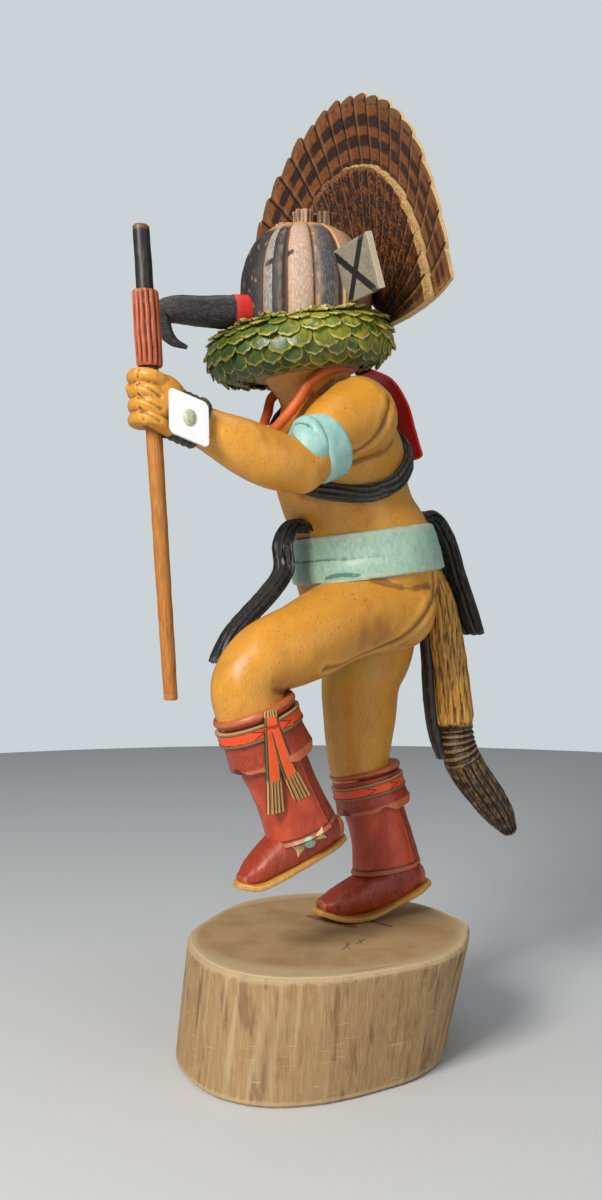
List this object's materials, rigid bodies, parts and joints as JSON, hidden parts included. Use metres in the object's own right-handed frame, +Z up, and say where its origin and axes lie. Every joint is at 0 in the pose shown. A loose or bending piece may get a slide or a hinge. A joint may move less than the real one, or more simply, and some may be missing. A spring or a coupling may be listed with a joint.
{
  "type": "kachina doll",
  "caption": "Carved and painted wooden dancer doll with a striped mask, leaf ruff, feather fan and staff, one leg raised, standing on a slice of log.",
  "frame": {"origin": "middle of the log slice, in the plane of its flat underside", "axes": "+Z up; the doll faces -Y and its left side, with the staff and the raised leg, is towards +X"},
  "size_m": [0.1688, 0.1727, 0.3571],
  "materials": {
    "painted_wood": "golden ochre stain, satin, with turquoise, black, red and green paint on the carved dress",
    "staff_wood": "orange-brown stained shaft, red-brown fluted grip and black tip, satin",
    "beak_paint": "dull black paint with a red ring",
    "ear_paint": "grey-brown wash with black bars",
    "fan_wood": "burnt dark brown bands on orange-brown wood, satin",
    "sash_paint": "black paint, satin",
    "pelt_wood": "golden ochre stain with a burnt dark tail, satin",
    "ribbon_paint": "bright red paint",
    "plate_paint": "white paint with a beige stone",
    "log_wood": "bare sanded wood, matt, with stains and pale scratches"
  },
  "bodies": {
    "root": {"carved_figure": "painted_wood", "staff": "staff_wood", "beak": "beak_paint", "ear_plate_left": "ear_paint", "ear_plate_right": "ear_paint", "feather_fan": "fan_wood", "front_sash": "sash_paint", "back_sash": "sash_paint", "fox_pelt": "pelt_wood", "neck_ribbon": "ribbon_paint", "wrist_plate": "plate_paint", "log_base": "log_wood"}
  },
  "joints": []
}
